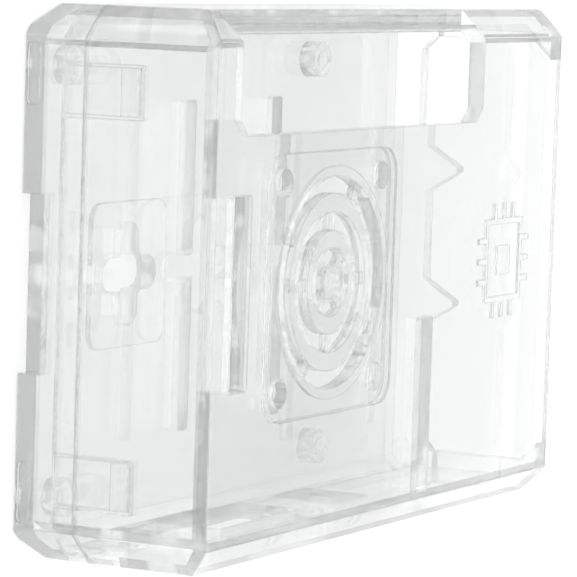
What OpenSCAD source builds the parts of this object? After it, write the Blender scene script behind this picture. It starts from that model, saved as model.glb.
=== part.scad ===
// Clear two-shell snap case for a credit-card-size single board computer.
// The case lies on its base: X runs from the card end to the port end, Y across the board, Z up.
// The origin is the centre of the footprint, on the underside.

/* [Case] */
// Outside length, card end to port end
case_l = 91; // [90.5:0.5:94]
// Outside width, connector side to pin-header side
case_w = 63; // [62:0.5:66]
// Outside height with both shells closed
case_h = 25; // [24.5:0.5:28]
// Height of the line where the shells meet
part_z = 8; // [7.5:0.5:9]
// Thickness of the walls and the floor
wall = 2; // [1.8:0.1:2.2]
// Thickness of the lid plate
lid_t = 2.2; // [2:0.1:2.6]
// Radius that softens the outside edges
edge_r = 0.6; // [0.3:0.1:0.9]

/* [Chamfers] */
// Upright corners at the card end
corner_c = 3.8; // [3:0.2:4.4]
// Long edges of the lid
lid_c = 3.5; // [3:0.1:4]
// Long edges of the base
base_c = 2.4; // [2:0.1:2.8]

/* [Board seat] */
// Hole-to-hole distance along the board
board_px = 58; // [57.9:0.05:58.1]
// Hole-to-hole distance across the board
board_py = 49; // [48.9:0.05:49.1]
// Gap from the card end face to the board edge
board_x0 = 2.5; // [2.3:0.1:2.8]
// Diameter of a stand-off
post_d = 4.4; // [4:0.1:5]
// Height of a stand-off above the floor
post_h = 2.2; // [2:0.1:2.6]
// Diameter of the screw pilot in a stand-off
pilot_d = 2.2; // [2:0.1:2.4]

/* [Fan grille] */
// Distance between the fan's screw holes
fan_pitch = 24; // [23.9:0.05:24.1]
// Diameter of a fan screw hole
fan_hole_d = 3.3; // [3:0.1:3.6]
// Side of the square fan seat
fan_seat = 30.6; // [30.2:0.1:31]
// Fan centre from the card end face
fan_x0 = 29; // [28:0.5:30]
// Radius of the grille opening
grille_r = 12.4; // [12:0.1:12.8]

/* [Snap tabs] */
// Width of a tab
tab_w = 5.5; // [5:0.1:6]
// Height of the tip of a tab
tab_top = 14.6; // [13.5:0.1:15]
// Distance of a tab from the middle of the card end
tab_y = 22; // [20:0.5:22.5]

/* [Hidden] */
$fn = 48;
eps = 0.01;
far = 200;
arc_steps = 4;

// Faces of the case
x_card = -case_l / 2;
x_port = case_l / 2;
y_side = case_w / 2;
// Clearance where the shells meet, and where the lip slides
seam = 0.1;
slide_gap = 0.12;
// Shiplap joint: the base keeps the outer part of its wall, the lid's lip fills the inner part
lap_t = 1;
lap_h = 3.2;
lap_z = part_z - lap_h;

// Board outline and the places of its connectors
board_x = x_card + board_x0;
post_inset = 3.5;
pilot_floor = 0.8;
board_t = 1.4;
board_top = wall + post_h + board_t;
post_x = board_x + post_inset;
post_y = board_py / 2;

// Port end: one tall opening over a low sill, with peaks that stand between the connectors
sill_z = 5.7;
port_y = y_side - 4.1;
port_c = 1.7;
port_top_c = 2.4;
peak_z = 10;
peak_half = 3;
peak_tip = 0.3;
peak_y = [10, -7.65];

// Connector side: [distance along the board, width, height, lower edge from the board's top face]
side_ports = [[10.6, 11.5, 7.2, -2.1], [32, 20, 8.3, -2.1], [53.5, 9.6, 9.2, -1.6]];
side_port_c = 0.6;
side_port_past = 0.5;

// Card notch: it cuts through the card end wall and a little way into the floor
notch_w = 20.3;
notch_h = 3.2;
notch_depth = 2.2;

// Shallow grip recesses low on the card end
grip_w = 7.1;
grip_h = 1.6;
grip_z = 1.3;
grip_depth = 0.5;
grip_y = 23.6;
grip_r = 0.75;

// Floor vents, in two columns of two
vent_w = 2.5;
vent_l = 18.6;
vent_x = [35.5, 56.3];
vent_gap = 2.6;
vent_r = 0.5;

// Keyhole for hanging the case on a screw
key_x = 21;
key_pad = 17;
key_pad_h = 0.6;
key_pad_r = 2;
key_arm = 12.2;
key_slot = 4;
key_d = 6.4;

// Pin-header notch in the lid's long edge
header_x = [5.6, 67.6];
header_y = 17.6;
header_c = 1.8;

// Ribbon slots in the lid: [distance from the card end, width, low y, high y]
ribbons = [[6.5, 4.3, -11, 11], [53.9, 3, -27.4, -5.8]];
ribbon_r = 0.4;

// Fan seat, sunk a little into both faces of the lid
seat_out = 0.3;
seat_in = 0.5;
seat_r = 3;
fan_x = x_card + fan_x0;
// Grille rings: [inner radius, outer radius]; spokes: [angle, inner radius, outer radius];
// spoke_h is the share of the plate's thickness a spoke takes up
rings = [[8.2, 10.4], [4, 6.1], [0, 2]];
spokes = [[60, 8.2, 13.2], [0, 4, 9], [45, 0, 5]];
spoke_w = 1.4;
spoke_h = 0.6;
rim_w = 1.2;
rim_h = 0.3;

// Snap tab, standing just inside the card end wall
tab_x = x_card + 1.3;
tab_t = 1.1;
tab_root = lap_z + seam;
hook_z = 12.4;
hook_out = 0.35;
hook_lip = 0.5;
tip_drop = 0.8;
tip_x = [0.2, 0.66];
channel_x = 0.8;
channel_w = tab_w + 0.6;
channel_top = tab_top + 0.5;

// Relief emblem on the lid: a plain chip outline with pins
emblem_x = 74.6;
emblem_body = 10.5;
emblem_line = 0.7;
emblem_core = 3.7;
emblem_h = 0.3;
emblem_pin = 2;
emblem_pitch = 2.6;

function unit(v) = v / norm(v);

// Points of an outline with every corner rounded to radius r
function rounded(pts, r) = [
    for (i = [0 : len(pts) - 1])
        let (p = pts[i], n = len(pts),
             u = unit(pts[(i + n - 1) % n] - p), v = unit(pts[(i + 1) % n] - p),
             half = acos(u * v) / 2, sweep = 180 - 2 * half,
             c = p + unit(u + v) * r / sin(half),
             s = (p + u * r / tan(half) - c) / r, e = (p + v * r / tan(half) - c) / r)
        for (k = [0 : arc_steps])
            let (f = k / arc_steps)
            c + r * (sin((1 - f) * sweep) * s + sin(f * sweep) * e) / sin(sweep)
];

// Where a 45 degree chamfer c starts along a face after its walls move in by d (neighbour by e)
function inset_c(c, d, e) = c + d * sqrt(2) - e;

// Outline seen from above, moved in by d, and by d_port at the port end
function plan_pts(d, d_port) = let (c = inset_c(corner_c, d, d)) [
    [x_card + c, -y_side + d], [x_port - d_port, -y_side + d],
    [x_port - d_port, y_side - d], [x_card + c, y_side - d],
    [x_card + d, y_side - c], [x_card + d, -y_side + c]
];

// Outline seen from the card end, moved in by d, with floor f and lid plate t
function section_pts(d, f, t) = [
    [-y_side + inset_c(base_c, d, f), f], [y_side - inset_c(base_c, d, f), f],
    [y_side - d, inset_c(base_c, d, d)], [y_side - d, case_h - inset_c(lid_c, d, d)],
    [y_side - inset_c(lid_c, d, t), case_h - t], [-y_side + inset_c(lid_c, d, t), case_h - t],
    [-y_side + d, case_h - inset_c(lid_c, d, d)], [-y_side + d, inset_c(base_c, d, d)]
];

function box_pts(x0, x1, y0, y1) = [[x0, y0], [x1, y0], [x1, y1], [x0, y1]];

// Box outline with its four corners cut: c_low on the first two, c_high on the others
function cut_box(x0, x1, y0, y1, c_low, c_high) = [
    [x0 + c_low, y0], [x1 - c_low, y0], [x1, y0 + c_low], [x1, y1 - c_high],
    [x1 - c_high, y1], [x0 + c_high, y1], [x0, y1 - c_high], [x0, y0 + c_low]
];

module along_x(x0, x1) {
    translate([x0, 0, 0]) rotate([90, 0, 90]) linear_extrude(x1 - x0) children();
}

module along_y(y0, y1) {
    translate([0, y1, 0]) rotate([90, 0, 0]) linear_extrude(y1 - y0) children();
}

module up(z0, z1) {
    translate([0, 0, z0]) linear_extrude(z1 - z0) children();
}

module both_sides() {
    children();
    mirror([0, 1, 0]) children();
}

module outside() {
    intersection() {
        along_x(x_card, x_port) polygon(rounded(section_pts(0, 0, 0), edge_r));
        up(0, case_h) polygon(rounded(plan_pts(0, 0), edge_r));
        along_y(-y_side, y_side) polygon(rounded(box_pts(x_card, x_port, 0, case_h), edge_r));
    }
}

module inside() {
    intersection() {
        along_x(x_card, x_port) polygon(section_pts(wall, wall, lid_t));
        up(wall, case_h - lid_t) polygon(plan_pts(wall, wall));
    }
}

// Openings cut through both shells
module port_opening() {
    along_x(x_port - wall - eps, x_port + 1)
        polygon(cut_box(-port_y, port_y, sill_z, case_h - lid_t, port_c, port_top_c));
}

module side_openings() {
    for (p = side_ports)
        let (x = board_x + p[0], z = board_top + p[3])
        along_y(-y_side - 1, -y_side + wall + side_port_past)
            polygon(cut_box(x - p[1] / 2, x + p[1] / 2, z, z + p[2], side_port_c, side_port_c));
}

module posts() {
    for (i = [0, 1])
        both_sides()
            translate([post_x + i * board_px, post_y, wall - eps]) cylinder(h = post_h + eps, d = post_d);
}

module pilots() {
    for (i = [0, 1])
        both_sides()
            translate([post_x + i * board_px, post_y, pilot_floor])
                cylinder(h = post_h + wall, d = pilot_d);
}

module vents() {
    for (x = vent_x)
        both_sides()
            up(-1, wall + 1)
                polygon(rounded(box_pts(x_card + x - vent_w / 2, x_card + x + vent_w / 2,
                                        vent_gap / 2, vent_gap / 2 + vent_l), vent_r));
}

module keyhole_pad() {
    up(wall - eps, wall + key_pad_h)
        polygon(rounded(box_pts(x_card + key_x - key_pad / 2, x_card + key_x + key_pad / 2,
                                -key_pad / 2, key_pad / 2), key_pad_r));
}

module keyhole() {
    h = wall + key_pad_h + 2;
    arm = (key_arm - key_slot) / 2;
    translate([x_card + key_x, 0, -1]) {
        cylinder(h = h, d = key_d);
        for (a = [0 : 90 : 270])
            rotate([0, 0, a]) {
                translate([0, -key_slot / 2, 0]) cube([arm, key_slot, h]);
                translate([arm, 0, 0]) cylinder(h = h, d = key_slot);
            }
    }
}

module card_notch() {
    translate([x_card - 1, -notch_w / 2, -1]) cube([notch_depth + 1, notch_w, notch_h + 1]);
}

module grips() {
    both_sides()
        along_x(x_card - 1, x_card + grip_depth)
            polygon(rounded(box_pts(grip_y - grip_w / 2, grip_y + grip_w / 2,
                                    grip_z - grip_h / 2, grip_z + grip_h / 2), grip_r));
}

// Peaks of the sill that stand between neighbouring connectors
module peaks() {
    for (y = peak_y)
        along_x(x_port - wall, x_port)
            polygon([[y - peak_half, sill_z - eps], [y + peak_half, sill_z - eps],
                     [y + peak_tip, peak_z], [y - peak_tip, peak_z]]);
}

module bottom_base() {
    color("aliceblue") {
        difference() {
            intersection() {
                outside();
                up(-1, part_z) square(far, center = true);
            }
            inside();
            up(lap_z, part_z + 1) polygon(plan_pts(lap_t, wall));
            port_opening();
            side_openings();
            vents();
            card_notch();
            grips();
            pilots();
            keyhole();
        }
        difference() {
            posts();
            pilots();
        }
        difference() {
            keyhole_pad();
            keyhole();
        }
        peaks();
    }
}

// Lip of the lid: it fills the inner part of the base's wall, on three sides
module lip() {
    difference() {
        up(lap_z + seam, part_z + seam + eps) polygon(plan_pts(lap_t + slide_gap, wall + slide_gap));
        up(lap_z - 1, part_z + 1) polygon(plan_pts(wall, -1));
    }
}

module snap_channels() {
    both_sides()
        translate([x_card + channel_x, tab_y - channel_w / 2, lap_z - 1])
            cube([wall * 2, channel_w, channel_top - lap_z + 1]);
}

module header_notch() {
    up(case_h - lid_c, case_h + 1)
        polygon(cut_box(x_card + header_x[0], x_card + header_x[1], header_y, y_side + far,
                        header_c, header_c));
}

module ribbon_slots() {
    for (r = ribbons)
        up(case_h - lid_t - 1, case_h + 1)
            polygon(rounded(box_pts(x_card + r[0] - r[1] / 2, x_card + r[0] + r[1] / 2,
                                    r[2], r[3]), ribbon_r));
}

module fan_seat_cut(depth) {
    linear_extrude(depth)
        polygon(rounded(box_pts(-fan_seat / 2, fan_seat / 2, -fan_seat / 2, fan_seat / 2), seat_r));
}

module fan_cuts() {
    translate([fan_x, 0, 0]) {
        translate([0, 0, case_h - seat_out]) fan_seat_cut(1);
        translate([0, 0, case_h - lid_t - eps]) fan_seat_cut(seat_in + eps);
        for (x = [-1, 1], y = [-1, 1])
            translate([x * fan_pitch / 2, y * fan_pitch / 2, case_h - lid_t - 1])
                cylinder(h = lid_t + 2, d = fan_hole_d);
        translate([0, 0, case_h - lid_t - 1]) cylinder(h = lid_t + 2, r = grille_r);
    }
}

module tube(r_in, r_out, h) {
    difference() {
        cylinder(h = h, r = r_out);
        translate([0, 0, -1]) cylinder(h = h + 2, r = r_in);
    }
}

// Rings and spokes of the fan grille, level with the bottom of the outer seat
module grille() {
    z = case_h - lid_t + seat_in;
    h = lid_t - seat_in - seat_out;
    translate([fan_x, 0, z]) {
        for (r = rings)
            if (r[0] > 0) tube(r[0], r[1], h);
            else cylinder(h = h, r = r[1]);
        for (s = spokes, a = [0 : 90 : 270])
            rotate([0, 0, s[0] + a])
                translate([s[1], -spoke_w / 2, h * (1 - spoke_h) / 2])
                    cube([s[2] - s[1], spoke_w, h * spoke_h]);
        tube(grille_r, grille_r + rim_w, h + rim_h);
    }
}

module emblem() {
    half = emblem_body / 2;
    translate([x_card + emblem_x, 0, 0])
        up(case_h - eps, case_h + emblem_h) {
            difference() {
                square(emblem_body, center = true);
                square(emblem_body - 2 * emblem_line, center = true);
            }
            square(emblem_core, center = true);
            for (i = [-1 : 1], a = [0 : 90 : 270])
                rotate(a)
                    translate([half - eps, i * emblem_pitch - emblem_line / 2])
                        square([emblem_pin, emblem_line]);
        }
}

module top_cover() {
    color("white") {
        difference() {
            intersection() {
                outside();
                up(part_z + seam, case_h + 1) square(far, center = true);
            }
            inside();
            port_opening();
            side_openings();
            snap_channels();
            header_notch();
            ribbon_slots();
            fan_cuts();
        }
        difference() {
            lip();
            side_openings();
            snap_channels();
        }
        grille();
        emblem();
    }
}

// A tongue with a small wedge hook near its tip, on the wall side
module snap_tab() {
    along_y(tab_y - tab_w / 2, tab_y + tab_w / 2)
        polygon([
            [tab_x, tab_root], [tab_x + tab_t, tab_root], [tab_x + tab_t, tab_top - tip_drop],
            [tab_x + tip_x[1], tab_top], [tab_x + tip_x[0], tab_top],
            [tab_x - hook_out, hook_z + hook_lip],
            [tab_x - hook_out, hook_z], [tab_x, hook_z]
        ]);
}

module snap_tab_left() {
    color("lightcyan") snap_tab();
}

module snap_tab_right() {
    color("lightcyan") mirror([0, 1, 0]) snap_tab();
}

bottom_base();
top_cover();
snap_tab_left();
snap_tab_right();
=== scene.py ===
"""Looks for a clear snap-fit case: water-clear moulded plastic on a pale floor in soft studio light."""

import bpy
from mathutils import Matrix, Vector

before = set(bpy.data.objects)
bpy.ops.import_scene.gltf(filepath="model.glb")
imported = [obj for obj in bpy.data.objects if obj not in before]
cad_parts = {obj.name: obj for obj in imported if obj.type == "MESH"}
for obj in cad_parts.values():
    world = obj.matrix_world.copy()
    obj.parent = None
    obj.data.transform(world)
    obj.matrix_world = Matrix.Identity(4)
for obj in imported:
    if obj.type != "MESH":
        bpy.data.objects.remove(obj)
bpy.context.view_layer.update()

# Lengths are in metres where MM isn't named
MM = 0.001

# Camera: it looks down on the lying case and is rolled, so that the pin-header side is up in the picture.
# LOOK and PICTURE_UP are unit vectors at a right angle
CAMERA_AT = Vector((-405.1, 39.3, 226.8)) * MM
LOOK = Vector((0.87815, -0.09138, -0.46957))
PICTURE_UP = Vector((0.06519, 0.99529, -0.07176))
LENS_MM = 236.6
SENSOR_MM = 36.0
CLIP_NEAR, CLIP_FAR = 0.01, 20.0

# Clear plastic. Less than full coverage softens its edges, as bright light all round does
PLASTIC_IOR = 1.49
PLASTIC_ALPHA = 0.80
# Slow drift of the tint and faint flow waves in the surface, and finer changes of polish
WAVE_SCALE = 90.0
WAVE_DEPTH = 0.02 * MM
DRIFT_DETAIL, FLOW_DETAIL = 2.0, 1.0
DRIFT_START, DRIFT_END = 0.35, 0.65
SPECK_SCALE, SPECK_DETAIL = 900.0, 3.0
# Painted reflection: edges gather the surroundings, so a greyer line this wide is painted along them, in
# full where the cosine of the surface's turn has dropped this much
EDGE_WIDTH = 0.28 * MM
EDGE_TURN = 0.2
PAINTED_EDGE_REFLECTION = (0.40, 0.43, 0.425, 1.0)
EDGE_SAMPLES = 4

# Each material slot's two tints, and the roughness of its dullest spots
FINISHES = {
    "clear_base": ((0.975, 0.985, 0.981, 1), (0.986, 0.992, 0.989, 1), 0.008),
    "clear_cover": ((0.962, 0.972, 0.967, 1), (0.978, 0.985, 0.981, 1), 0.006),
    "clear_tab": ((0.945, 0.965, 0.955, 1), (0.97, 0.98, 0.975, 1), 0.01),
}
NODE_SLOTS = {
    "bottom_base": "clear_base",
    "top_cover": "clear_cover",
    "snap_tab_left": "clear_tab",
    "snap_tab_right": "clear_tab",
}

# Floor: a pale lit surface just under the case
FLOOR_HALF = 3.0
FLOOR_GAP = 0.2 * MM
FLOOR_TONE = 0.5
FLOOR_GLOW = 0.68
FLOOR_ROUGHNESS = 0.9

# Studio: grey at the horizon and below it, white overhead, and two weak area lamps
HORIZON = (0.5, 0.51, 0.508, 1)
WHITE = (1.0, 1.0, 1.0, 1)
SKY_STRENGTH = 1.0
LAMPS = [
    {"name": "key", "at": (-0.6, 0.9, 1.1), "size": 0.8, "watts": 0.8},
    {"name": "fill", "at": (-0.9, -0.8, 0.7), "size": 1.0, "watts": 0.5},
]
# Light inside thick clear walls is reflected many times before it leaves them
LIGHT_BOUNCES = 24

# The colour Mix node has sockets of the same name for each data type, so its colour ones go by number
MIX_FACTOR, MIX_A, MIX_B, MIX_RESULT = 0, 6, 7, 2


def link_to_scene(obj):
    bpy.context.scene.collection.objects.link(obj)


def new_material(name):
    """A material with its node tree and its Principled shader."""
    material = bpy.data.materials.new(name)
    material.use_nodes = True
    return material, material.node_tree, material.node_tree.nodes["Principled BSDF"]


def ramp(nodes, low, high, start, end):
    """A fade from one colour to another between two values of its factor."""
    node = nodes.new("ShaderNodeValToRGB")
    first, last = node.color_ramp.elements
    first.position, last.position = start, end
    first.color, last.color = low, high
    return node


def noise(tree, coords, scale, detail):
    node = tree.nodes.new("ShaderNodeTexNoise")
    node.inputs["Scale"].default_value = scale
    node.inputs["Detail"].default_value = detail
    tree.links.new(coords.outputs["Object"], node.inputs["Vector"])
    return node.outputs["Fac"]


def painted_edge_reflection_mask(tree):
    """Where the painted edge reflection goes: 0 on the flats, up to 1 on the edges, from how far the
    surface turns within EDGE_WIDTH.
    """
    bevel = tree.nodes.new("ShaderNodeBevel")
    bevel.samples = EDGE_SAMPLES
    bevel.inputs["Radius"].default_value = EDGE_WIDTH
    geometry = tree.nodes.new("ShaderNodeNewGeometry")
    match = tree.nodes.new("ShaderNodeVectorMath")
    match.operation = "DOT_PRODUCT"
    tree.links.new(bevel.outputs["Normal"], match.inputs[0])
    tree.links.new(geometry.outputs["Normal"], match.inputs[1])
    # The cosine of the turn, which is 1 on a flat
    mask = tree.nodes.new("ShaderNodeMapRange")
    mask.inputs["From Min"].default_value = 1.0
    mask.inputs["From Max"].default_value = 1.0 - EDGE_TURN
    tree.links.new(match.outputs["Value"], mask.inputs["Value"])
    return mask.outputs["Result"]


def add_tint(tree, shader, coords, thin, thick):
    """A slow drift between two tints, with a painted dark reflection along the edges in a greyer tone."""
    tint = ramp(tree.nodes, thin, thick, DRIFT_START, DRIFT_END)
    tree.links.new(noise(tree, coords, WAVE_SCALE, DRIFT_DETAIL), tint.inputs["Fac"])
    # Painted dark reflection: a greyer tone laid over the tint along the edges
    painted_edge_reflection = tree.nodes.new("ShaderNodeMix")
    painted_edge_reflection.data_type = "RGBA"
    painted_edge_reflection.inputs[MIX_B].default_value = PAINTED_EDGE_REFLECTION
    tree.links.new(painted_edge_reflection_mask(tree), painted_edge_reflection.inputs[MIX_FACTOR])
    tree.links.new(tint.outputs["Color"], painted_edge_reflection.inputs[MIX_A])
    tree.links.new(painted_edge_reflection.outputs[MIX_RESULT], shader.inputs["Base Color"])


def add_polish(tree, shader, coords, dullest):
    """Polish that varies from perfect to dullest in small spots."""
    polish = tree.nodes.new("ShaderNodeMapRange")
    polish.inputs["To Max"].default_value = dullest
    tree.links.new(noise(tree, coords, SPECK_SCALE, SPECK_DETAIL), polish.inputs["Value"])
    tree.links.new(polish.outputs["Result"], shader.inputs["Roughness"])


def add_flow_waves(tree, shader, coords):
    """Faint waves in the surface, as the plastic's flow into the mould leaves them."""
    bump = tree.nodes.new("ShaderNodeBump")
    bump.inputs["Distance"].default_value = WAVE_DEPTH
    tree.links.new(noise(tree, coords, WAVE_SCALE, FLOW_DETAIL), bump.inputs["Height"])
    tree.links.new(bump.outputs["Normal"], shader.inputs["Normal"])


def clear_plastic(name, thin, thick, dullest):
    """Water-clear moulded plastic: a slow tint drift, polish that varies, and faint flow waves."""
    material, tree, shader = new_material(name)
    shader.inputs["Transmission Weight"].default_value = 1.0
    shader.inputs["IOR"].default_value = PLASTIC_IOR
    shader.inputs["Alpha"].default_value = PLASTIC_ALPHA
    coords = tree.nodes.new("ShaderNodeTexCoord")
    add_tint(tree, shader, coords, thin, thick)
    add_polish(tree, shader, coords, dullest)
    add_flow_waves(tree, shader, coords)
    return material


def dress_nodes():
    looks = {slot: clear_plastic(slot, *finish) for slot, finish in FINISHES.items()}
    for node, slot in NODE_SLOTS.items():
        for material_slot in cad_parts[node].material_slots:
            material_slot.material = looks[slot]


def make_floor():
    material, _, shader = new_material("pale_floor")
    shader.inputs["Base Color"].default_value = (FLOOR_TONE, FLOOR_TONE, FLOOR_TONE, 1.0)
    shader.inputs["Roughness"].default_value = FLOOR_ROUGHNESS
    shader.inputs["Emission Color"].default_value = WHITE
    shader.inputs["Emission Strength"].default_value = FLOOR_GLOW
    mesh = bpy.data.meshes.new("floor")
    h, z = FLOOR_HALF, -FLOOR_GAP
    mesh.from_pydata([(-h, -h, z), (h, -h, z), (h, h, z), (-h, h, z)], [], [(0, 1, 2, 3)])
    mesh.materials.append(material)
    floor = bpy.data.objects.new("floor", mesh)
    link_to_scene(floor)


def make_world():
    """Light from all round that falls off to grey at the horizon, which draws the edges."""
    world = bpy.data.worlds.new("studio")
    bpy.context.scene.world = world
    world.use_nodes = True
    nodes, links = world.node_tree.nodes, world.node_tree.links
    coords = nodes.new("ShaderNodeTexCoord")
    split = nodes.new("ShaderNodeSeparateXYZ")
    fade = ramp(nodes, HORIZON, WHITE, 0.0, 1.0)
    links.new(coords.outputs["Generated"], split.inputs["Vector"])
    links.new(split.outputs["Z"], fade.inputs["Fac"])
    links.new(fade.outputs["Color"], nodes["Background"].inputs["Color"])
    nodes["Background"].inputs["Strength"].default_value = SKY_STRENGTH


def make_lamp(name, at, size, watts):
    """A square area lamp that points at the case."""
    lamp = bpy.data.lights.new(name, "AREA")
    lamp.size, lamp.energy = size, watts
    obj = bpy.data.objects.new(name, lamp)
    obj.location = at
    obj.rotation_euler = (-Vector(at)).to_track_quat("-Z", "Y").to_euler()
    link_to_scene(obj)


def make_camera():
    data = bpy.data.cameras.new("camera")
    data.lens, data.sensor_width = LENS_MM, SENSOR_MM
    data.clip_start, data.clip_end = CLIP_NEAR, CLIP_FAR
    cam = bpy.data.objects.new("camera", data)
    cam.location = CAMERA_AT
    # A camera's own axes are right in the picture, up in it, and back towards the viewer
    own_axes = (LOOK.cross(PICTURE_UP), PICTURE_UP, -LOOK)
    cam.rotation_euler = Matrix(own_axes).transposed().to_euler()
    link_to_scene(cam)
    bpy.context.scene.camera = cam


def set_light_paths():
    paths = bpy.context.scene.cycles
    paths.max_bounces = paths.transmission_bounces = LIGHT_BOUNCES
    paths.transparent_max_bounces = LIGHT_BOUNCES


dress_nodes()
make_floor()
make_world()
for lamp_facts in LAMPS:
    make_lamp(**lamp_facts)
make_camera()
bpy.context.scene.view_settings.view_transform = "Standard"
set_light_paths()
